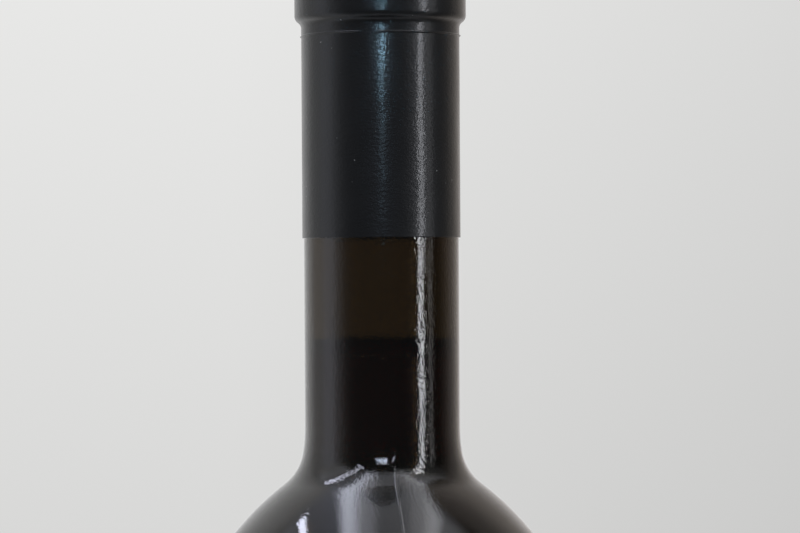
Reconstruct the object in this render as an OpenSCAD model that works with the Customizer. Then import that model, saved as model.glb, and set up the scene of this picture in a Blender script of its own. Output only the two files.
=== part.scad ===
// Straight-shouldered wine bottle: glass, wine and a shrunk capsule over the mouth.
// Stands on its base: the origin is at the middle of the base, +Z runs up the axis.
// All sizes in millimetres.

/* [Bottle] */
// Height of the glass, from the base to the lip
height = 320; // [250:1:400]
// Outer diameter of the body
body_d = 75; // [60:0.5:100]
// Outer diameter of the neck
neck_d = 27; // [24:0.25:32]
// Distance from the lip down to where the neck begins to flare
neck_len = 87.7; // [72:0.1:130]

/* [Shoulder] */
// Radius of the first, gentle bend out of the neck
flare_r = 30; // [15:1:60]
// Slope reached at the end of that gentle bend, from the vertical
flare_angle = 8.5; // [3:0.5:15]
// Radius of the tighter bend under it
bend_r = 8.5; // [4:0.5:20]
// Steepest slope of the shoulder, from the vertical
slope_angle = 52; // [40:1:65]
// Length of the straight slope between that bend and the rounded shoulder
slope_len = 0.6; // [0.1:0.1:4]

/* [Mouth] */
// How far the ring that the capsule is drawn over stands out from the neck
ring_step = 1.15; // [0.5:0.05:3]
// Height of the straight side of the ring with its upper rounding
ring_h = 16.4; // [8:0.1:22]
// Rounding at the lower edge of the ring
ring_edge_r = 1.1; // [0.6:0.1:2]
// Hollow rounding between the ring and the neck
under_ring_r = 1.5; // [1:0.1:3]
// Rounding at the outside of the lip
lip_r = 1.6; // [0.5:0.1:2.5]
// Rounding at the inside of the lip
mouth_r = 1; // [0.4:0.1:1.5]
// Bore at the mouth
mouth_bore = 18.5; // [17:0.1:19.5]
// Bore of the neck below the seat of the cork
neck_bore = 20; // [19:0.1:21.5]
// Length over which the bore widens from the one to the other
bore_taper_len = 45; // [30:1:60]

/* [Glass] */
// Wall of the body
wall = 2.8; // [1.8:0.1:5]
// Glass over the hollow of the base
base_wall = 4; // [3:0.1:8]
// Glass at the foot, under the lowest wine
foot_wall = 5; // [4:0.1:9]

/* [Base] */
// Rounding of the heel, where the wall turns in to the foot
heel_r = 6; // [3:0.5:9]
// Width of the flat ring that the bottle stands on
foot_w = 3; // [2:0.5:6]
// Rounding where the foot turns up into the hollow
hollow_edge_r = 2.5; // [1.5:0.1:4]
// Height of the hollow under the base
hollow_h = 23; // [14:1:34]
// Radius of the dome at the top of the hollow
hollow_top_r = 13; // [8:0.5:16]
// Rounding at the lowest wine, between the wall and the dome
valley_r = 5; // [3:0.5:8]

/* [Capsule] */
// Length of the capsule, measured down from the lip
capsule_len = 55; // [35:1:68]
// Wall of the capsule
capsule_wall = 0.27; // [0.15:0.01:0.6]

/* [Wine] */
// Distance from the lip down to the surface of the wine
fill_depth = 72.8; // [50:0.2:130]

/* [Hidden] */

// Largest distance between an arc and the chords that stand for it
arc_error = 0.01;
// Points in a full turn round the axis
turn = 128;

body_r = body_d / 2;
neck_r = neck_d / 2;
ring_r = neck_r + ring_step;
// Where the neck starts to flare
flare_z = height - neck_len;
fill_z = height - fill_depth;
// Sweep of the two arcs under the ring, which share one slope where they meet
ring_sweep = acos(1 - ring_step / (ring_edge_r + under_ring_r));
neck_wall = neck_r - neck_bore / 2;
// Middle of the circle that tops the hollow of the base
dome_z = hollow_h - hollow_top_r;

// Points along an arc about a centre, both ends included
function arc(centre, r, from, to) =
    let (step = 2 * acos(1 - arc_error / max(r, 0.1)),
         n = max(2, ceil(abs(to - from) / step)))
    [for (i = [0:n])
        let (a = from + (to - from) * i / n)
        [centre[0] + r * cos(a), centre[1] + r * sin(a)]];

// Neck to body, from the start of the flare down to the top of the straight side.
// Two hollow bends, a short slope, then one round shoulder that ends upright.
function shoulder(top_r, side_r, first_r, second_r) =
    let (r1 = top_r + first_r * (1 - cos(flare_angle)),
         z1 = flare_z - first_r * sin(flare_angle),
         r2 = r1 + second_r * (cos(flare_angle) - cos(slope_angle)),
         z2 = z1 - second_r * (sin(slope_angle) - sin(flare_angle)),
         r3 = r2 + slope_len * sin(slope_angle),
         z3 = z2 - slope_len * cos(slope_angle),
         round_r = (side_r - r3) / (1 - cos(slope_angle)),
         round_z = z3 - round_r * sin(slope_angle))
    concat(
        arc([top_r + first_r, flare_z], first_r, 180, 180 + flare_angle),
        arc([r1 + second_r * cos(flare_angle), z1 + second_r * sin(flare_angle)],
            second_r, 180 + flare_angle, 180 + slope_angle),
        arc([side_r - round_r, round_z], round_r, slope_angle, 0));

// From the bottom of one rounding, up a slope, over the dome to the axis.
// The rounding lies above the line and the dome below it.
function rise(edge, edge_r, top_z, top_r) =
    let (run = edge[0],
         fall = edge[1] - top_z,
         slope = asin((edge_r + top_r) / norm([run, fall])) - atan2(fall, run))
    concat(arc(edge, edge_r, 270, 270 - slope), arc([0, top_z], top_r, 90 - slope, 90));

// Outside of the lip, ring and upper neck, grown outward by a skin
function ring_side(skin) =
    concat(
        arc([ring_r - lip_r, height - lip_r], lip_r + skin, 90, 0),
        arc([ring_r - ring_edge_r, height - ring_h], ring_edge_r + skin, 0, -ring_sweep),
        arc([neck_r + under_ring_r,
             height - ring_h - (ring_edge_r + under_ring_r) * sin(ring_sweep)],
            under_ring_r - skin, 180 - ring_sweep, 180));

function glass_outside() =
    concat(
        ring_side(0),
        shoulder(neck_r, body_r, flare_r, bend_r),
        arc([body_r - heel_r, heel_r], heel_r, 0, -90),
        rise([body_r - heel_r - foot_w, hollow_edge_r], hollow_edge_r, dome_z, hollow_top_r));

// Inside from the lip down to the lowest wine
function cavity_side() =
    concat(
        arc([mouth_bore / 2 + mouth_r, height - mouth_r], mouth_r, 90, 180),
        [[neck_bore / 2, height - bore_taper_len]],
        shoulder(neck_bore / 2, body_r - wall, flare_r + neck_wall, bend_r + neck_wall),
        arc([body_r - wall - valley_r, foot_wall + valley_r], valley_r, 0, -90));

// Inside from the lowest wine up over the dome to the axis
function cavity_floor() =
    rise([body_r - wall - valley_r, foot_wall + valley_r], valley_r,
         dome_z, hollow_top_r + base_wall);

function glass_inside() = concat(cavity_side(), cavity_floor());

// A list read backwards
function back(points) = [for (i = [len(points) - 1:-1:0]) points[i]];

// A list without points that repeat the one before
function tidy(points) =
    [for (i = [0:len(points) - 1])
        if (i == 0 || norm(points[i] - points[max(i - 1, 0)]) > 0.0005) points[i]];

module turned(points) {
    rotate_extrude($fn = turn) polygon(tidy(points));
}

// Dark glass, one piece from lip to base
module bottle() {
    color([0.13, 0.11, 0.06, 0.6])
        turned(concat(glass_outside(), back(glass_inside())));
}

// Thin skin shrunk over the ring and the neck, closed by a disc over the mouth
module capsule() {
    edge_z = height - capsule_len;
    color([0.1, 0.1, 0.1])
        turned(concat(
            [[0, height + capsule_wall]],
            ring_side(capsule_wall),
            [[neck_r + capsule_wall, edge_z], [neck_r, edge_z]],
            back(ring_side(0)),
            [[0, height]]));
}

// Wine, filling the glass up to its level in the neck
module wine() {
    // Radius of the cavity at the level, read off its side
    level_r = lookup(fill_z, [for (p = cavity_side()) [p[1], p[0]]]);
    color([0.2, 0.03, 0.04])
        turned(concat(
            [[0, fill_z], [level_r, fill_z]],
            [for (p = glass_inside()) if (p[1] < fill_z) p]));
}

bottle();
capsule();
wine();
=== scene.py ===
# %% [markdown]
# # A full bottle of red wine
# The object is a tall wine bottle with high shoulders: dark glass, red wine up to the middle of the
# neck, and a black skin of plastic, the capsule, shrunk over the mouth. Each of the three is made here
# as its own piece, in the place that the construction model gives it, and then gets the finish of the
# real material.

# %% Load the construction model
import math
import random
import bpy
from mathutils import Matrix, Vector


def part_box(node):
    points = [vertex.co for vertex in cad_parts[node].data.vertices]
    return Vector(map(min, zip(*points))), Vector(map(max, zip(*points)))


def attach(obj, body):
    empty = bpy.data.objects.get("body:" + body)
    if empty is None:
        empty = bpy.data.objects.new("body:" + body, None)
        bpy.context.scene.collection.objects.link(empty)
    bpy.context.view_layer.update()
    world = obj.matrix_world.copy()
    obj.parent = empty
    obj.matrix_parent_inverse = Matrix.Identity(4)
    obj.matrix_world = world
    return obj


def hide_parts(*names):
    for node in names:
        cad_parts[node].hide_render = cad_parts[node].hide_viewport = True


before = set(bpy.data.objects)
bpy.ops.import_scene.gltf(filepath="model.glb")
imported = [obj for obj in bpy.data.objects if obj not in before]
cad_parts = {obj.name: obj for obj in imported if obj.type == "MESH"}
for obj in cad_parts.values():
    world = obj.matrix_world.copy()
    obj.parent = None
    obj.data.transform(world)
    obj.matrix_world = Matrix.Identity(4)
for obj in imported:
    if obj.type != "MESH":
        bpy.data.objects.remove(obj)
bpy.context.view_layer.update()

MM = 0.001

# %% [markdown]
# ## Sizes
# Overall sizes are read off the construction model, so that the pieces meet it exactly: its boxes give
# the height of the glass, its outer radius, the level of the wine and the edge of the capsule. What a
# box can't tell, such as the radius of the neck or of a rounding, is written once, in millimetres, where
# it is first needed.

# %% Sizes of the glass
glass_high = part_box("bottle")[1] / MM
wine_low, wine_high = (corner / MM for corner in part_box("wine"))
capsule_low, capsule_high = (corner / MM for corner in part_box("capsule"))

height = glass_high.z
body_r = glass_high.x
wall = body_r - wine_high.x
wine_level = wine_high.z
lowest_wine = wine_low.z
skirt_edge = capsule_low.z
skin = capsule_high.z - height

neck_r = 13.5
ring_r = 14.65
bore_r = 10.0
mouth_bore_r = 9.25
neck_length = 87.7
flare_start = height - neck_length
print(f"glass {height:.1f} high, {2 * body_r:.1f} across, wall {wall:.2f}, wine up to {wine_level:.1f}")

# %% [markdown]
# ## Camera
# The camera stands level with the neck, a bit over half a metre away, with a long lens, so the bottle's
# uprights stay parallel. It looks along +Y, and leans a third of a degree, as a camera held by hand
# does.

# %% Camera
CAMERA_DISTANCE = 575 * MM
CAMERA_HEIGHT = skirt_edge * MM - 5 * MM
CAMERA_TO_RIGHT = 3.2 * MM
LEAN = math.radians(0.34)
SENSOR_WIDTH, LENS = 36, 148.7
NEAREST, FARTHEST = 0.05, 30
camera_data = bpy.data.cameras.new("camera")
camera_data.sensor_width = SENSOR_WIDTH
camera_data.lens = LENS
camera_data.clip_start = NEAREST
camera_data.clip_end = FARTHEST
camera = bpy.data.objects.new("camera", camera_data)
bpy.context.scene.collection.objects.link(camera)
camera.location = (CAMERA_TO_RIGHT, -CAMERA_DISTANCE, CAMERA_HEIGHT)
camera.rotation_euler = (math.radians(90), LEAN, 0)
bpy.context.scene.camera = camera
print("camera", [round(c, 3) for c in camera.location], "lens", camera_data.lens)

# %% [markdown]
# ## Drawing a half section
# Glass, wine and capsule are all round about one axis, so each is turned like a pot on a wheel: half of
# its section is drawn once and swept round. Curves could be used, or rings scaled one above the other.
# Here the section is drawn by the edit-mode operators, one point pulled along straight runs and spun
# round the centre of each rounding, because every radius then stays a plain number that can be read and
# changed. The pen starts as a circle of three points merged into one, and an arc is cut into chords that
# stray from the true curve by no more than CHORD_ERROR.

# %% A pen for half sections
CHORD_ERROR = 0.006
SMALLEST_R = 0.1
FEWEST_CHORDS = 3
UNCUT = 1000


class Pen:
    """Draws a half section in the plane y = 0, in millimetres: r is the distance from the axis."""

    def __init__(self, name, r, z):
        bpy.ops.object.select_all(action="DESELECT")
        bpy.ops.mesh.primitive_circle_add(vertices=3, radius=MM)
        self.piece = bpy.context.object
        self.piece.name = name
        self.piece.data.name = name
        bpy.ops.object.mode_set(mode="EDIT")
        bpy.ops.mesh.merge(type="CENTER")
        bpy.ops.transform.translate(value=(r * MM, 0, z * MM))
        self.r, self.z = r, z

    def to(self, r, z, step=UNCUT):
        """A straight run, cut into parts no longer than step."""
        run, rise = r - self.r, z - self.z
        parts = max(1, math.ceil(math.hypot(run, rise) / step))
        for _ in range(parts):
            bpy.ops.mesh.extrude_vertices_move(
                TRANSFORM_OT_translate={"value": (run / parts * MM, 0, rise / parts * MM)})
        self.r, self.z = r, z

    def turn(self, r, z, degrees):
        """An arc about the centre (r, z): plus turns anticlockwise as seen from the front."""
        radius = math.hypot(self.r - r, self.z - z)
        step = math.degrees(2 * math.acos(1 - CHORD_ERROR / max(radius, SMALLEST_R)))
        chords = max(FEWEST_CHORDS, math.ceil(abs(degrees) / step))
        bpy.ops.mesh.spin(steps=chords, angle=math.radians(degrees),
                          center=(r * MM, 0, z * MM), axis=(0, 1, 0))
        angle = math.atan2(self.z - z, self.r - r) + math.radians(degrees)
        self.r, self.z = r + radius * math.cos(angle), z + radius * math.sin(angle)


# %% [markdown]
# The mould that a bottle is blown in has two halves, and leaves a fine seam up each side. The turning
# therefore stops twice, for a few narrow steps where the seam will be raised, and goes on in wide ones.

# %% Turning a half section
SEAM_FROM_FRONT = 8.2
SEAM_STEPS = 4
SEAM_STEP = 0.42
WIDE_STEP = 2.0
SAME_POINT = 0.002 * MM


def turn_round(piece):
    """Sweeps the drawn section once round the axis and closes it."""
    seam = SEAM_STEPS * SEAM_STEP
    between = 180 - seam
    first = 90 - SEAM_FROM_FRONT - seam / 2
    bpy.ops.mesh.select_all(action="SELECT")
    for sweep, step in ((first, WIDE_STEP), (seam, SEAM_STEP), (between, WIDE_STEP), (seam, SEAM_STEP),
                        (between - first, WIDE_STEP)):
        bpy.ops.mesh.spin(steps=round(sweep / step), angle=math.radians(sweep),
                          center=(0, 0, 0), axis=(0, 0, 1))
    bpy.ops.mesh.select_all(action="SELECT")
    bpy.ops.mesh.remove_doubles(threshold=SAME_POINT)
    bpy.ops.mesh.normals_make_consistent(inside=False)
    bpy.ops.mesh.select_all(action="DESELECT")
    bpy.ops.object.mode_set(mode="OBJECT")
    bpy.ops.object.shade_smooth()
    print(piece.name, len(piece.data.polygons), "faces")
    return piece


def slope_of_rise(edge_r, edge_z, round_r, top_z, top_r):
    """Slope of the line that passes under one circle and over a dome on the axis, touching both."""
    down = edge_z - top_z
    leaning = math.asin((round_r + top_r) / math.hypot(edge_r, down))
    return math.degrees(leaning - math.atan2(down, edge_r))


# %% [markdown]
# ## Glass
# The glass is one closed wall, drawn in one go: up the outside from the hollow under the base to the
# lip, and down the inside to the floor. From neck to shoulder the inner roundings share their centres
# with the outer ones, so the wall keeps its thickness round the bends. FLARE and BEND give a radius and
# the slope, in degrees from upright, that the outline has reached at the lower end of that rounding.

# %% Glass: section and turning
FLARE = (30.0, 8.5)
BEND = (8.5, 52.0)
SLOPE_LENGTH = 0.6
HEEL_R, FOOT_WIDTH, FOOT_EDGE_R = 6.0, 3.0, 2.5
DOME_Z, DOME_R, FLOOR_THICKNESS = 10.0, 13.0, 4.0
VALLEY_R = 5.0
RING_EDGE_R, UNDER_RING_R, RING_HEIGHT = 1.1, 1.5, 16.4
LIP_R, MOUTH_R = 1.6, 1.0
BORE_TAPER = 45.0
RUN_STEP, FLOOR_STEP, FINE_STEP, FOOT_STEP = 4.0, 2.0, 1.5, 1.0
STRETCH = 2.0


def shoulder_points(top_r, side_r, grow):
    """Centres and ends of the arcs from neck to body, grow millimetres inside the glass's outer face."""
    flare_r, flare_angle = FLARE[0] + grow, math.radians(FLARE[1])
    bend_r, bend_angle = BEND[0] + grow, math.radians(BEND[1])
    r1 = top_r + flare_r * (1 - math.cos(flare_angle))
    z1 = flare_start - flare_r * math.sin(flare_angle)
    bend_centre = (r1 + bend_r * math.cos(flare_angle), z1 + bend_r * math.sin(flare_angle))
    r2 = bend_centre[0] - bend_r * math.cos(bend_angle)
    z2 = bend_centre[1] - bend_r * math.sin(bend_angle)
    r3 = r2 + SLOPE_LENGTH * math.sin(bend_angle)
    z3 = z2 - SLOPE_LENGTH * math.cos(bend_angle)
    round_r = (side_r - r3) / (1 - math.cos(bend_angle))
    round_centre = (side_r - round_r, z3 - round_r * math.sin(bend_angle))
    return bend_centre, (r2, z2), (r3, z3), round_centre, (top_r + flare_r, flare_start)


def climb_shoulder(pen, top_r, side_r, grow=0.0):
    """From the top of the body up to the neck."""
    bend_centre, bend_end, _, round_centre, flare_centre = shoulder_points(top_r, side_r, grow)
    pen.to(side_r, round_centre[1], RUN_STEP)
    pen.turn(*round_centre, BEND[1])
    pen.to(*bend_end)
    pen.turn(*bend_centre, FLARE[1] - BEND[1])
    pen.turn(*flare_centre, -FLARE[1])


def descend_shoulder(pen, top_r, side_r, grow=0.0):
    """The same way down."""
    bend_centre, _, slope_end, round_centre, flare_centre = shoulder_points(top_r, side_r, grow)
    pen.to(top_r, flare_start, RUN_STEP)
    pen.turn(*flare_centre, FLARE[1])
    pen.turn(*bend_centre, BEND[1] - FLARE[1])
    pen.to(*slope_end)
    pen.turn(*round_centre, -BEND[1])


ring_sweep = math.degrees(math.acos(1 - (ring_r - neck_r) / (RING_EDGE_R + UNDER_RING_R)))
under_ring = height - RING_HEIGHT - (RING_EDGE_R + UNDER_RING_R) * math.sin(math.radians(ring_sweep))


def climb_ring(pen, grow=0.0):
    """From the neck over the ring to the top of the lip; grow is the skin that lies on the glass."""
    pen.turn(neck_r + UNDER_RING_R, under_ring, -ring_sweep)
    pen.turn(ring_r - RING_EDGE_R, height - RING_HEIGHT, ring_sweep)
    pen.to(ring_r + grow, height - LIP_R, FINE_STEP)
    pen.turn(ring_r - LIP_R, height - LIP_R, 90)


foot_edge = body_r - HEEL_R - FOOT_WIDTH
outer_slope = slope_of_rise(foot_edge, FOOT_EDGE_R, FOOT_EDGE_R, DOME_Z, DOME_R)
inner_r = body_r - wall
valley = (inner_r - VALLEY_R, lowest_wine + VALLEY_R)
inner_slope = slope_of_rise(*valley, VALLEY_R, DOME_Z, DOME_R + FLOOR_THICKNESS)


def on_circle(r, z, radius, degrees):
    """The point at that angle on a circle about (r, z)."""
    return r + radius * math.cos(math.radians(degrees)), z + radius * math.sin(math.radians(degrees))


pen = Pen("bottle_glass", 0, DOME_Z + DOME_R)
pen.turn(0, DOME_Z, -outer_slope)
pen.to(*on_circle(foot_edge, FOOT_EDGE_R, FOOT_EDGE_R, 270 - outer_slope), FLOOR_STEP)
pen.turn(foot_edge, FOOT_EDGE_R, outer_slope)
pen.to(body_r - HEEL_R, 0, FOOT_STEP)
pen.turn(body_r - HEEL_R, HEEL_R, 90)
climb_shoulder(pen, neck_r, body_r)
pen.to(neck_r, under_ring, STRETCH)
climb_ring(pen)
pen.to(mouth_bore_r + MOUTH_R, height)
pen.turn(mouth_bore_r + MOUTH_R, height - MOUTH_R, 90)
pen.to(bore_r, height - BORE_TAPER, RUN_STEP)
descend_shoulder(pen, bore_r, inner_r, neck_r - bore_r)
pen.to(inner_r, valley[1], RUN_STEP)
pen.turn(*valley, -90)
pen.turn(*valley, -inner_slope)
pen.to(*on_circle(0, DOME_Z, DOME_R + FLOOR_THICKNESS, 90 - inner_slope), FLOOR_STEP)
pen.turn(0, DOME_Z, inner_slope)
glass = turn_round(pen.piece)

# %% [markdown]
# The seams are raised on the mesh itself. The points on the middle of each seam are selected by their
# place and pushed out along their normals, more on the shoulder and the body than on the neck, where the
# mould closes tighter. The amount changes from one short stretch to the next, as on real glass, so light
# catches it in places.

# %% Glass: mould seams
NECK_SEAM, BODY_SEAM = 0.07, 0.16
STRENGTHS = (0.3, 0.6, 1.0)
NEARLY_OUTSIDE = 1.0


def azimuth_from_seam(co):
    """Degrees round from the nearer of the two seams."""
    round_from_front = math.degrees(math.atan2(co.x, -co.y))
    return abs((round_from_front - SEAM_FROM_FRONT + 90) % 180 - 90)


def outside(co):
    """True on the outer face of the wall, above the foot."""
    r, z = math.hypot(co.x, co.y) / MM, co.z / MM
    in_neck_bore = r <= (neck_r + bore_r) / 2
    in_body = z < flare_start and r < outer_radius(z) - NEARLY_OUTSIDE
    return HEEL_R < z < under_ring and not in_neck_bore and not in_body


def outer_radius(z):
    """Radius of the glass's outer face at a height between heel and ring."""
    bend_centre, _, slope_end, round_centre, flare_centre = shoulder_points(neck_r, body_r, 0)
    if z <= round_centre[1]:
        return body_r
    if z <= slope_end[1]:
        round_r = body_r - round_centre[0]
        return round_centre[0] + math.sqrt(round_r ** 2 - (z - round_centre[1]) ** 2)
    if z <= bend_centre[1] - BEND[0] * math.sin(math.radians(FLARE[1])):
        return bend_centre[0] - math.sqrt(max(BEND[0] ** 2 - (z - bend_centre[1]) ** 2, 0))
    if z <= flare_start:
        return flare_centre[0] - math.sqrt(FLARE[0] ** 2 - (z - flare_start) ** 2)
    return neck_r


random.seed(7)
stretch_strength = [random.choice(STRENGTHS) for _ in range(round(height / STRETCH) + 1)]
for above_flare, ridge in ((True, NECK_SEAM), (False, BODY_SEAM)):
    for strength in STRENGTHS:
        for vertex in glass.data.vertices:
            z = vertex.co.z / MM
            wanted = stretch_strength[int(z / STRETCH)] == strength and (z > flare_start) == above_flare
            vertex.select = wanted and azimuth_from_seam(vertex.co) < SEAM_STEP / 2 and outside(vertex.co)
        bpy.ops.object.mode_set(mode="EDIT")
        bpy.ops.transform.shrink_fatten(value=ridge * strength * MM)
        bpy.ops.mesh.select_all(action="DESELECT")
        bpy.ops.object.mode_set(mode="OBJECT")
print("seams raised", NECK_SEAM, "to", BODY_SEAM, "mm")

# %% [markdown]
# ## Wine
# The wine fills the glass. Its skin lies a little way inside the wall rather than on it, because two
# surfaces in one place, or a gap of air, would both show as a silvery sheet. At the glass the surface
# climbs in a small hollow curve, as water does in any narrow tube: half of the rise lies below the
# wine's level, half above.

# %% Wine: section and turning
INTO_WALL = 0.15
MENISCUS_RISE, MENISCUS_R = 0.8, 2.4
half_rise = MENISCUS_RISE / 2

pen = Pen("red_wine", 0, DOME_Z + DOME_R + FLOOR_THICKNESS - INTO_WALL)
pen.turn(0, DOME_Z, -inner_slope)
pen.to(*on_circle(*valley, VALLEY_R + INTO_WALL, 270 - inner_slope), FLOOR_STEP)
pen.turn(*valley, inner_slope)
pen.turn(*valley, 90)
climb_shoulder(pen, bore_r + INTO_WALL, inner_r + INTO_WALL, neck_r - bore_r - INTO_WALL)
pen.to(bore_r + INTO_WALL, wine_level + half_rise, RUN_STEP)
meniscus_sweep = math.degrees(math.acos(1 - MENISCUS_RISE / MENISCUS_R))
meniscus_run = MENISCUS_R * math.sin(math.radians(meniscus_sweep))
pen.turn(bore_r + INTO_WALL - meniscus_run, wine_level - half_rise + MENISCUS_R, -meniscus_sweep)
pen.to(0, wine_level - half_rise, FINE_STEP)
wine = turn_round(pen.piece)

# %% [markdown]
# ## Capsule
# The capsule is a sleeve of plastic film, shrunk by hot air, with a disc that lies a little lower than
# its turned-in top edge and has a fine raised bead. The sleeve follows the glass closely: over the lip,
# down the ring, in under it and down the neck. Just below the ring the film has gathered into a fine
# crease. It is drawn as the glass was: inside first, round the cut edge, which is broken by a hair so
# that light catches it, and back up the outside.

# %% Capsule: section and turning
FILM_GAP = 0.02
DISC_STEP = 1.0
CUT_BEVEL, HEM = 0.04, 0.16
FOLD_WIDTH, FOLD_STEP = 2.6, 0.15
FOLD_BEVEL, FOLD_BEVEL_DEPTH, FOLD_SLANT = 0.1, 0.08, 0.05
BEAD_R, BEAD_HEIGHT, BEAD_WIDTH = 7.5, 0.1, 1.2
CREASE_BELOW_RING, CREASE_WIDTH, CREASE_HEIGHT = 1.4, 0.5, 0.28
CREASE_STEP = CREASE_WIDTH / 6
crease = under_ring - CREASE_BELOW_RING
disc = height + skin - FOLD_STEP
fold_edge = ring_r - LIP_R - FOLD_WIDTH
bead_side = math.degrees(2 * math.atan(2 * BEAD_HEIGHT / BEAD_WIDTH))
bead_round = BEAD_WIDTH / 2 / math.sin(math.radians(bead_side))

pen = Pen("capsule_film", 0, height + FILM_GAP)
pen.to(ring_r - LIP_R, height + FILM_GAP, 2 * FINE_STEP)
pen.turn(ring_r - LIP_R, height - LIP_R, -90)
pen.to(ring_r + FILM_GAP, height - RING_HEIGHT, FINE_STEP)
pen.turn(ring_r - RING_EDGE_R, height - RING_HEIGHT, -ring_sweep)
pen.turn(neck_r + UNDER_RING_R, under_ring, ring_sweep)
pen.to(neck_r + FILM_GAP, skirt_edge, FINE_STEP)
pen.to(neck_r + skin - CUT_BEVEL, skirt_edge)
pen.to(neck_r + skin, skirt_edge + CUT_BEVEL)
pen.to(neck_r + skin, skirt_edge + HEM)
pen.to(neck_r + skin, crease - CREASE_WIDTH, FINE_STEP)
pen.to(neck_r + skin, crease + CREASE_WIDTH, CREASE_STEP)
pen.to(neck_r + skin, under_ring)
climb_ring(pen, skin)
pen.to(fold_edge + FOLD_BEVEL, height + skin, DISC_STEP)
pen.to(fold_edge, height + skin - FOLD_BEVEL_DEPTH)
pen.to(fold_edge - FOLD_SLANT, disc)
pen.to(BEAD_R + BEAD_WIDTH / 2, disc, DISC_STEP)
pen.turn(BEAD_R, disc + BEAD_HEIGHT - bead_round, 2 * bead_side)
pen.to(0, disc, FINE_STEP)
capsule = turn_round(pen.piece)

# %% [markdown]
# Shrunk film is never quite even. Three Displace modifiers, each on a vertex group of its own, give the
# skirt its slow bulges, raise the crease, and let the crease wander up and down. The bulges and the
# wander read a cloud texture. Weights fade the first out towards the cut edge and the ring, where the
# film is held.

# %% Capsule: unevenness of the film
OUTER_SKIN = 0.1
SKIRT_FADE = 8
BELOW_CREASE = (5, 1)
STEEP_SIDE = 0.6
GAP_MIDDLE, GAP_EDGES = -7, (6, 11)
SWING = 0.25
WANDER_REACH = (0.3, 0.5)


def outer_points(piece):
    return [v for v in piece.data.vertices if math.hypot(v.co.x, v.co.y) / MM > neck_r + OUTER_SKIN]


def weigh(piece, name, weight_at):
    """A vertex group of outer points, weighed by a function of degrees from the front and height."""
    group = piece.vertex_groups.new(name=name)
    for vertex in outer_points(piece):
        weight = weight_at(math.degrees(math.atan2(vertex.co.x, -vertex.co.y)), vertex.co.z / MM)
        if weight > 0:
            group.add([vertex.index], min(weight, 1.0), "REPLACE")
    return group


def displace(piece, group, depth, direction, grain=None):
    """Moves the points of a group, by clouds of the given grain if there is one, and applies it."""
    modifier = piece.modifiers.new(group.name, "DISPLACE")
    modifier.vertex_group = group.name
    modifier.direction = direction
    modifier.strength = depth * MM
    modifier.mid_level = 0.0
    if grain:
        modifier.texture = bpy.data.textures.new(f"{piece.name}_{group.name}", "CLOUDS")
        modifier.texture.noise_scale = grain * MM
        modifier.texture_coords = "LOCAL"
        modifier.mid_level = 0.5
    bpy.ops.object.select_all(action="DESELECT")
    piece.select_set(True)
    bpy.context.view_layer.objects.active = piece
    bpy.ops.object.modifier_apply(modifier=modifier.name)
    print(piece.name, group.name, "moved by up to", depth, "mm")


def ease(value, low, high):
    """0 below low, 1 above high, smooth between."""
    t = min(max((value - low) / (high - low), 0), 1)
    return t * t * (3 - 2 * t)


def skirt_weight(around, z):
    """The skirt between the cut edge and the crease, all the way round."""
    fade_from, fade_to = (crease - below for below in BELOW_CREASE)
    return ease(z, skirt_edge, skirt_edge + SKIRT_FADE) * (1 - ease(z, fade_from, fade_to))


def crease_weight(around, z):
    """A ridge of swinging height, steeper above; it stops left of the front, where the film is flat."""
    across = (z - crease) / (CREASE_WIDTH / 2)
    profile = max(0.0, 1 - (across / STEEP_SIDE if across > 0 else -across))
    gap = ease(abs(around - GAP_MIDDLE), *GAP_EDGES)
    slow, quick = math.radians(around * 3 + 40), math.radians(around * 7)
    return profile * gap * (1 - SWING + SWING * math.sin(slow) * math.cos(quick))


def wander_weight(around, z):
    """The crease and a little above and below it."""
    return 1 - ease(abs(z - crease), *WANDER_REACH)


displace(capsule, weigh(capsule, "skirt", skirt_weight), depth=0.06, direction="NORMAL", grain=9)
displace(capsule, weigh(capsule, "crease", crease_weight), depth=CREASE_HEIGHT, direction="NORMAL")
displace(capsule, weigh(capsule, "wander", wander_weight), depth=0.3, direction="Z", grain=8)

# %% [markdown]
# ## Materials
# Colours are picked as on a paint card, in sRGB, and turned into the linear values that light adds up
# in. One small function adds a node with its settings and its links.

# %% Colour and node helpers
def linear(hex_colour):
    """sRGB hex to a linear colour with alpha 1."""
    parts = [int(hex_colour[i:i + 2], 16) / 255 for i in (1, 3, 5)]
    return tuple(c / 12.92 if c <= 0.04045 else ((c + 0.055) / 1.055) ** 2.4 for c in parts) + (1.0,)


def add(tree, kind, inputs=None, **settings):
    """Adds a node; inputs are values or other nodes' outputs, by socket name or number."""
    node = tree.nodes.new(kind)
    for name, value in settings.items():
        setattr(node, name, value)
    for name, value in (inputs or {}).items():
        if isinstance(value, bpy.types.NodeSocket):
            tree.links.new(value, node.inputs[name])
        else:
            node.inputs[name].default_value = value
    return node


def new_material(name):
    """An empty material and its node tree."""
    material = bpy.data.materials.new(name)
    material.use_nodes = True
    material.node_tree.nodes.clear()
    return material, material.node_tree


def give(piece, material):
    """Makes the whole piece of that material."""
    piece.data.materials.append(material)
    print(piece.name, "is made of", material.name, "with", len(material.node_tree.nodes), "nodes")


def per_metre(millimetres):
    """The Scale of a noise whose grain is that many millimetres."""
    return 1 / (millimetres * MM)


# %% [markdown]
# ### Bottle glass
# Soda-lime glass, coloured in the furnace to the brown olive that bottlers call dead leaf, and blown in
# a steel mould. It is smooth enough to mirror lamps sharply, but the mould's chill leaves a fine ripple,
# which breaks the edges of each reflection, over slow waves that bend them. The colour sits in the depth
# of the glass, so it is given as absorption, with a lighter tint of it at the surface. The ripple's
# grain is 0.3 mm, drawn at 0.46 so that it shows. It is weaker on the shoulder, where the glass lies
# smoother.

# %% Bottle glass
SHOULDER_RIPPLE = 0.14
RIPPLE_WEAK_BELOW, RIPPLE_FULL_ABOVE = 0.216, 0.226


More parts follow.
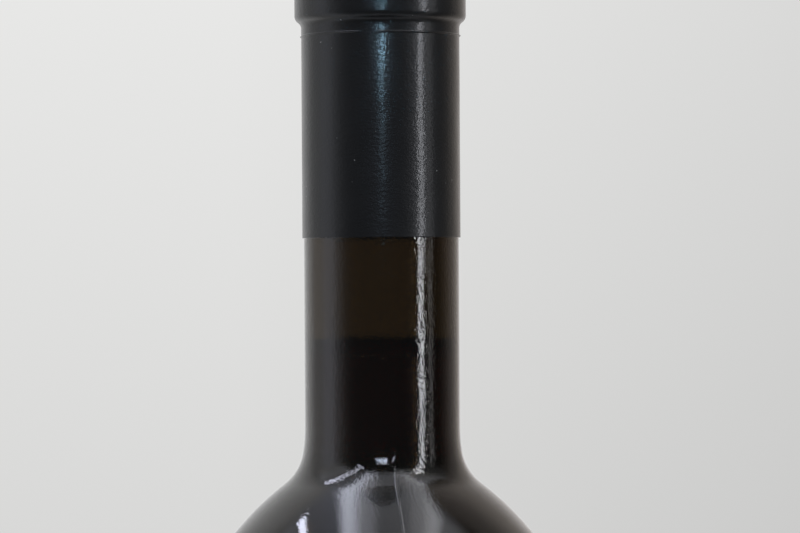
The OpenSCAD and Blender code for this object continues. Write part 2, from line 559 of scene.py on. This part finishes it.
def bottle_glass_material():
    material, tree = new_material("dead_leaf_bottle_glass")
    place = add(tree, "ShaderNodeTexCoord").outputs["Object"]
    ripple = add(tree, "ShaderNodeTexNoise", {"Vector": place, "Scale": per_metre(0.46), "Detail": 1.0})
    waves = add(tree, "ShaderNodeTexNoise", {"Vector": place, "Scale": per_metre(14), "Detail": 1.0})
    slow = add(tree, "ShaderNodeBump", {
        "Height": waves.outputs["Fac"], "Strength": 1.0, "Distance": 0.12 * MM})
    level = add(tree, "ShaderNodeSeparateXYZ", {"Vector": place})
    chill = add(tree, "ShaderNodeMapRange", {
        "Value": level.outputs["Z"], "From Min": RIPPLE_WEAK_BELOW, "From Max": RIPPLE_FULL_ABOVE,
        "To Min": SHOULDER_RIPPLE, "To Max": 1.0})
    fine = add(tree, "ShaderNodeBump", {
        "Height": ripple.outputs["Fac"], "Strength": chill.outputs[0], "Distance": 0.044 * MM,
        "Normal": slow.outputs["Normal"]})
    surface = add(tree, "ShaderNodeBsdfPrincipled", {
        "Base Color": linear("#928569"), "Roughness": 0.02, "IOR": 1.52, "Transmission Weight": 1.0,
        "Normal": fine.outputs["Normal"]})
    depth = add(tree, "ShaderNodeVolumeAbsorption", {"Color": linear("#B6AEA3"), "Density": 520})
    add(tree, "ShaderNodeOutputMaterial", {"Surface": surface.outputs[0], "Volume": depth.outputs[0]})
    return material


give(glass, bottle_glass_material())

# %% [markdown]
# ### Red wine
# Clear, deep red: it swallows green and blue within a millimetre or two and red only over a centimetre
# or two, so behind dark glass it is black, with a trace of red where the way through is short.

# %% Red wine
def wine_material():
    material, tree = new_material("still_red_wine")
    surface = add(tree, "ShaderNodeBsdfPrincipled", {
        "Base Color": linear("#FFFFFF"), "Roughness": 0.0, "IOR": 1.34, "Transmission Weight": 1.0})
    depth = add(tree, "ShaderNodeVolumeAbsorption", {"Color": linear("#ED6127"), "Density": 700})
    add(tree, "ShaderNodeOutputMaterial", {"Surface": surface.outputs[0], "Volume": depth.outputs[0]})
    return material


give(wine, wine_material())

# %% [markdown]
# ### Capsule film
# Black shrink film of PVC, satin rather than glossy. It was drawn through a round die, and shrinking set
# fine ripples across it, so a lamp in front smears into a speckled upright streak. The ripples are a
# noise stretched round the sleeve, 0.3 mm from crest to crest and drawn at 0.42. Under them lie slow
# waves, and over them a grain like orange peel and, here and there, a speck of dust. A thin coat stands
# for the film's smooth skin.

# %% Capsule film
STRETCHED_ROUND = (0.35, 0.35, 1.0)


def capsule_material():
    material, tree = new_material("black_pvc_shrink_film")
    place = add(tree, "ShaderNodeTexCoord").outputs["Object"]
    flat = add(tree, "ShaderNodeMapping", {"Vector": place, "Scale": STRETCHED_ROUND})
    ripple = add(tree, "ShaderNodeTexNoise", {
        "Vector": flat.outputs[0], "Scale": per_metre(0.42), "Detail": 1.0})
    peel = add(tree, "ShaderNodeTexNoise", {"Vector": place, "Scale": per_metre(0.35), "Detail": 1.0})
    waves = add(tree, "ShaderNodeTexNoise", {"Vector": place, "Scale": per_metre(6), "Detail": 1.0})
    slow = add(tree, "ShaderNodeBump", {
        "Height": waves.outputs["Fac"], "Strength": 1.0, "Distance": 0.05 * MM})
    across = add(tree, "ShaderNodeBump", {
        "Height": ripple.outputs["Fac"], "Strength": 1.0, "Distance": 0.03 * MM,
        "Normal": slow.outputs["Normal"]})
    grain = add(tree, "ShaderNodeBump", {
        "Height": peel.outputs["Fac"], "Strength": 1.0, "Distance": 0.024 * MM,
        "Normal": across.outputs["Normal"]})
    clouds = add(tree, "ShaderNodeTexNoise", {"Vector": place, "Scale": per_metre(7), "Detail": 3.0})
    satin = add(tree, "ShaderNodeMapRange", {
        "Value": clouds.outputs["Fac"], "From Min": 0.3, "From Max": 0.7, "To Min": 0.33, "To Max": 0.38})
    specks = add(tree, "ShaderNodeTexNoise", {"Vector": place, "Scale": per_metre(0.6), "Detail": 0.0})
    dust = add(tree, "ShaderNodeMapRange", {
        "Value": specks.outputs["Fac"], "From Min": 0.86, "From Max": 0.9})
    black, dust_grey = linear("#151617"), linear("#6A6A68")
    colour = add(tree, "ShaderNodeMix", {"Factor": dust.outputs[0], 6: black, 7: dust_grey},
                 data_type="RGBA")
    surface = add(tree, "ShaderNodeBsdfPrincipled", {
        "Base Color": colour.outputs[2], "Roughness": satin.outputs[0], "IOR": 1.45,
        "Specular IOR Level": 0.26, "Coat Weight": 0.32, "Coat Roughness": 0.13, "Coat IOR": 1.5,
        "Normal": grain.outputs["Normal"], "Coat Normal": grain.outputs["Normal"]})
    add(tree, "ShaderNodeOutputMaterial", {"Surface": surface.outputs[0]})
    return material


give(capsule, capsule_material())

# %% [markdown]
# ## Each piece to its place
# The pieces stand for the construction solids, which are hidden, and ride on the one body.

# %% Pieces
for piece, node, slot in ((glass, "bottle", "bottle_glass"), (wine, "wine", "wine"),
                          (capsule, "capsule", "capsule_skin")):
    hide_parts(node)
    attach(piece, "root")
    print(piece.name, "stands for", node)

# %% [markdown]
# ## Stage
# A pale floor and a pale backdrop. The backdrop is the world itself: to the eye it is plain and pale,
# but as a source of light it is bright behind the bottle and dim in front, as a studio is, because dark
# glass shows only what it mirrors. A flat disc serves as the floor. To the eye it fades towards its rim
# into the backdrop's own tone, so no horizon shows. To every other ray it opens between 6 and 30
# centimetres from the bottle's axis, so the glass mirrors the world below as it does the world above.
# Seen from below it isn't there.

# %% Floor
BACKDROP = linear("#DCDCDB")
LOW_TONE, HIGH_TONE = 0.905, 1.055
FLOOR_R, FLOOR_SIDES = 2.45, 96
FADES_FROM, FADED_AT = 0.4, 2.2
OPENS_FROM, OPEN_AT = 0.06, 0.3
bpy.ops.object.select_all(action="DESELECT")
bpy.ops.mesh.primitive_circle_add(vertices=FLOOR_SIDES, radius=FLOOR_R, fill_type="NGON")
floor = bpy.context.object
floor.name = "floor"
floor_material, tree = new_material("pale_floor")
place = add(tree, "ShaderNodeTexCoord").outputs["Object"]
distance = add(tree, "ShaderNodeVectorMath", {0: place}, operation="LENGTH")
fade = add(tree, "ShaderNodeMapRange", {
    "Value": distance.outputs["Value"], "From Min": FADES_FROM, "From Max": FADED_AT},
    interpolation_type="SMOOTHSTEP")
opening = add(tree, "ShaderNodeMapRange", {
    "Value": distance.outputs["Value"], "From Min": OPENS_FROM, "From Max": OPEN_AT},
    interpolation_type="SMOOTHSTEP")
seen = add(tree, "ShaderNodeLightPath").outputs["Is Camera Ray"]
underside = add(tree, "ShaderNodeNewGeometry").outputs["Backfacing"]
matte = add(tree, "ShaderNodeBsdfDiffuse", {"Color": linear("#BEBEBC")}).outputs[0]
glow = add(tree, "ShaderNodeEmission", {"Color": BACKDROP, "Strength": LOW_TONE}).outputs[0]
nothing = add(tree, "ShaderNodeBsdfTransparent").outputs[0]
to_light = add(tree, "ShaderNodeMixShader", {"Fac": opening.outputs[0], 1: matte, 2: nothing}).outputs[0]
to_eye = add(tree, "ShaderNodeMixShader", {"Fac": fade.outputs[0], 1: matte, 2: glow}).outputs[0]
upper_side = add(tree, "ShaderNodeMixShader", {"Fac": seen, 1: to_light, 2: to_eye}).outputs[0]
one_sided = add(tree, "ShaderNodeMixShader", {"Fac": underside, 1: upper_side, 2: nothing}).outputs[0]
add(tree, "ShaderNodeOutputMaterial", {"Surface": one_sided})
floor.data.materials.append(floor_material)
print("floor", 2 * FLOOR_R, "m across")

# %% [markdown]
# The light of the world starts as a ring of tones round the bottle, the same at every height. Each row
# is a place, in degrees round from the camera with plus to the right, its brightness and its tint. The
# ring is bright behind and at the left, dim in front and at the right, with one thin bright line in the
# dim part.

# %% World: tones round the bottle
STUDIO_RING = (
    (-90, 1.1, "#F4F6FF"), (-79, 1.12, "#F4F6FF"), (-67, 0.52, "#F8FAFF"), (-54, 0.17, "#FFFFFF"),
    (-42, 0.1, "#FFFFFF"), (-20, 0.09, "#FFFFFF"), (35, 0.08, "#FFFFFF"), (71, 0.09, "#FFFFFF"),
    (76, 1.3, "#FFFFFF"), (82, 0.07, "#FFFFFF"), (92, 0.05, "#FFF4EA"), (105, 0.14, "#FFF4EA"),
    (122, 0.37, "#FFF4EA"), (144, 0.66, "#FFF4EA"), (162, 0.88, "#FFF8F4"), (180, 0.9, "#FFFFFF"),
    (210, 0.93, "#FFFFFF"), (228, 0.88, "#FFFFFF"), (243, 0.62, "#FFFFFF"), (257, 0.72, "#FFFFFF"),
    (270, 1.1, "#F4F6FF"))


def paint_ramp(node, rows, low, high, brightest=1.0):
    """Sets a ramp by rows of place, brightness and tint. A new ramp has two stops already."""
    node.color_ramp.interpolation = "EASE"
    stops = node.color_ramp.elements
    for number, (spot, brightness, tint) in enumerate(rows):
        stop = stops[number] if number in (0, 1) else stops.new(1.0)
        stop.position = (spot - low) / (high - low)
        stop.color = [brightness / brightest * c for c in linear(tint)[:3]] + [1.0]
    print(len(stops), "tones between", low, "and", high)


world = bpy.data.worlds.new("studio")
bpy.context.scene.world = world
world.use_nodes = True
tree = world.node_tree
tree.nodes.clear()
direction = add(tree, "ShaderNodeTexCoord").outputs["Generated"]
parts = add(tree, "ShaderNodeSeparateXYZ", {"Vector": direction}).outputs
around = add(tree, "ShaderNodeTexGradient", {"Vector": direction}, gradient_type="RADIAL")
ring = add(tree, "ShaderNodeValToRGB", {"Fac": around.outputs["Fac"]})
paint_ramp(ring, STUDIO_RING, -90, 270)

# %% [markdown]
# Over the ring hangs a ceiling with two soft banks of light, one left and one right. It too is only a
# pattern of directions: how far a place overhead lies to the side, or to the back, for each unit of
# height. Lamps would give these banks hard edges in the glass. The ramp holds each tone as a share of
# the brightest, and is scaled up after it. The ceiling ends in soft edges in front, behind and low down,
# and its back edge comes forward over the right bank, which is the shorter one.

# %% World: banks overhead
CEILING = (
    (-1.5, 1.0, "#FFFFFF"), (-1.05, 1.2, "#F6F8FF"), (-0.6, 0.9, "#F0F3FF"), (-0.42, 1.1, "#E8EDFF"),
    (-0.3, 7.5, "#E8EDFF"), (-0.14, 2.7, "#EEF2FF"), (0.0, 1.1, "#F4F7FF"), (0.18, 1.2, "#F4F7FF"),
    (0.3, 2.1, "#F6F8FF"), (0.44, 3.8, "#F6F8FF"), (0.55, 1.3, "#F6F8FF"), (0.8, 1.0, "#FFFFFF"),
    (0.95, 0.6, "#FFFFFF"), (1.1, 0.3, "#FFFFFF"), (1.3, 0.22, "#FFFFFF"))
BRIGHTEST = 7.5
CEILING_SIDE = 1.5
RIGHT_BANK_FROM, RIGHT_BANK_TO, SHORTER_BY = (0.3, 0.46), (0.8, 0.96), 0.3
FRONT_EDGE, BACK_EDGE, LOW_EDGE = (-0.95, -0.5), (0.62, 0.35), (0.4, 0.6)
SOFT = {"interpolation_type": "SMOOTHSTEP"}
sideways = add(tree, "ShaderNodeMath", {0: parts["X"], 1: parts["Z"]}, operation="DIVIDE").outputs[0]
backward = add(tree, "ShaderNodeMath", {0: parts["Y"], 1: parts["Z"]}, operation="DIVIDE").outputs[0]
across = add(tree, "ShaderNodeMapRange", {
    "Value": sideways, "From Min": -CEILING_SIDE, "From Max": CEILING_SIDE})
banks = add(tree, "ShaderNodeValToRGB", {"Fac": across.outputs[0]})
paint_ramp(banks, CEILING, -CEILING_SIDE, CEILING_SIDE, BRIGHTEST)
ceiling = add(tree, "ShaderNodeVectorMath", {0: banks.outputs["Color"], "Scale": BRIGHTEST},
              operation="SCALE")

reach = backward
for (start, end), change in ((RIGHT_BANK_FROM, SHORTER_BY), (RIGHT_BANK_TO, -SHORTER_BY)):
    shift = add(tree, "ShaderNodeMapRange", {
        "Value": sideways, "From Min": start, "From Max": end, "To Max": change}, **SOFT)
    reach = add(tree, "ShaderNodeMath", {0: reach, 1: shift.outputs[0]}, operation="ADD").outputs[0]
overhead = 1.0
for measure, (outer, inner) in ((backward, FRONT_EDGE), (reach, BACK_EDGE), (parts["Z"], LOW_EDGE)):
    edge = add(tree, "ShaderNodeMapRange", {
        "Value": measure, "From Min": outer, "From Max": inner}, **SOFT)
    product = add(tree, "ShaderNodeMath", {0: overhead, 1: edge.outputs[0]}, operation="MULTIPLY")
    overhead = product.outputs[0]
studio = add(tree, "ShaderNodeMix", {"Factor": overhead, 6: ring.outputs["Color"], 7: ceiling.outputs[0]},
             data_type="RGBA")

# %% [markdown]
# What the camera sees of the world is a plain backdrop instead: one pale tone, a little lighter upwards
# and darker to the right, as a wall behind the bottle is. Looking from the side it is even from left to
# right, so that it meets the floor without a seam from there too.

# %% World: what the camera sees
LEFT_TONE, RIGHT_TONE = 1.062, 0.925
LOW, HIGH = -0.08, 0.08
LEFT, RIGHT = -0.05, 0.12
EVEN_FROM, EVEN_AT = 0.15, 0.5
upward = add(tree, "ShaderNodeMapRange", {
    "Value": parts["Z"], "From Min": LOW, "From Max": HIGH, "To Min": LOW_TONE, "To Max": HIGH_TONE})
to_right = add(tree, "ShaderNodeMapRange", {
    "Value": parts["X"], "From Min": LEFT, "From Max": RIGHT, "To Min": LEFT_TONE, "To Max": RIGHT_TONE})
off_axis = add(tree, "ShaderNodeMath", {0: parts["X"]}, operation="ABSOLUTE")
even = add(tree, "ShaderNodeMapRange", {
    "Value": off_axis.outputs[0], "From Min": EVEN_FROM, "From Max": EVEN_AT}, **SOFT)
side_tone = add(tree, "ShaderNodeMix", {"Factor": even.outputs[0], "A": to_right.outputs[0], "B": 1.0},
                data_type="FLOAT")
tone = add(tree, "ShaderNodeMath", {0: upward.outputs[0], 1: side_tone.outputs[0]},
           operation="MULTIPLY")
backdrop = add(tree, "ShaderNodeVectorMath", {0: BACKDROP[:3], "Scale": tone.outputs[0]},
               operation="SCALE")
seen = add(tree, "ShaderNodeLightPath").outputs["Is Camera Ray"]
shown = add(tree, "ShaderNodeMix", {"Factor": seen, 6: studio.outputs[2], 7: backdrop.outputs[0]},
            data_type="RGBA")
sky = add(tree, "ShaderNodeBackground", {"Color": shown.outputs[2], "Strength": 1.0})
add(tree, "ShaderNodeOutputWorld", {"Surface": sky.outputs[0]})
print("world of", len(tree.nodes), "nodes")

# %% [markdown]
# ## Lights
# Each lamp is a flat soft light, told by where it stands as seen from the point it looks at: degrees
# round from the camera (plus is to the right), degrees up, distance, and its width and height in metres.
# Its strength is given as the brightness of its face, because that is what a mirror-like bottle shows.
# Blender needs 4 W on each square metre for a face of brightness 1. The two small lamps in front have a
# honeycomb, which lets light through in a narrow beam, so they light the capsule and leave the glass
# dark.

# %% Lamps
NECK_FOOT = Vector((0, 0, 0.24))
UPPER_CAPSULE = Vector((0, 0, crease - 3)) * MM
LOWER_CAPSULE = Vector((0, 0, crease - 14)) * MM
WATTS_PER_BRIGHTNESS = 4
BARE = 180


def lamp(name, round_from_front, up, distance, width, tall, brightness, colour,
         along=None, honeycomb=BARE, look_at=NECK_FOOT):
    """along turns its width to a direction of its own; honeycomb is the angle of the beam in degrees."""
    azimuth, elevation = math.radians(round_from_front), math.radians(up)
    towards = Vector((math.sin(azimuth) * math.cos(elevation), -math.cos(azimuth) * math.cos(elevation),
                      math.sin(elevation)))
    across = Vector(along) if along else Vector((0, 0, 1)).cross(towards).normalized()
    back = (towards - towards.dot(across) * across).normalized()
    turned = Matrix((across, back.cross(across), back)).transposed()
    data = bpy.data.lights.new(name, "AREA")
    data.shape = "RECTANGLE"
    data.size, data.size_y = width, tall
    data.energy = brightness * WATTS_PER_BRIGHTNESS * width * tall
    data.spread = math.radians(honeycomb)
    data.color = linear(colour)[:3]
    light = bpy.data.objects.new(name, data)
    bpy.context.scene.collection.objects.link(light)
    light.matrix_world = Matrix.LocRotScale(look_at + towards * distance, turned, None)
    light.visible_camera = False
    print(f"{name}: {data.energy:.4f} W")


lamp("right_strip", 60.3, 20, 1.5, 0.15, 1.7, 10.5, "#F6F8FF")
lamp("front_grid", 2.5, 3.6, 0.24, 0.05, 0.008, 0.22, "#A6D8F6", honeycomb=6, look_at=UPPER_CAPSULE)
lamp("front_soft", 2.5, 2.8, 0.24, 0.06, 0.024, 0.017, "#B6DEF6", honeycomb=11, look_at=LOWER_CAPSULE)
lamp("front_spot", 0.5, 24.5, 1.2, 0.09, 0.2, 34, "#D8E5FF")
lamp("left_tube", -60.8, 50.15, 2.127, 2.63, 0.1, 12, "#E6EAFF", along=(0, 1, 0))

# %% [markdown]
# ## Tones as they are
# Blender's own view transform bends tones as film does. The plain one is used here, so that a colour
# picked on the paint card looks the same in the picture.

# %% View transform
bpy.context.scene.view_settings.view_transform = "Standard"
bpy.context.scene.view_settings.look = "None"
print("tones shown by the", bpy.context.scene.view_settings.view_transform, "transform")
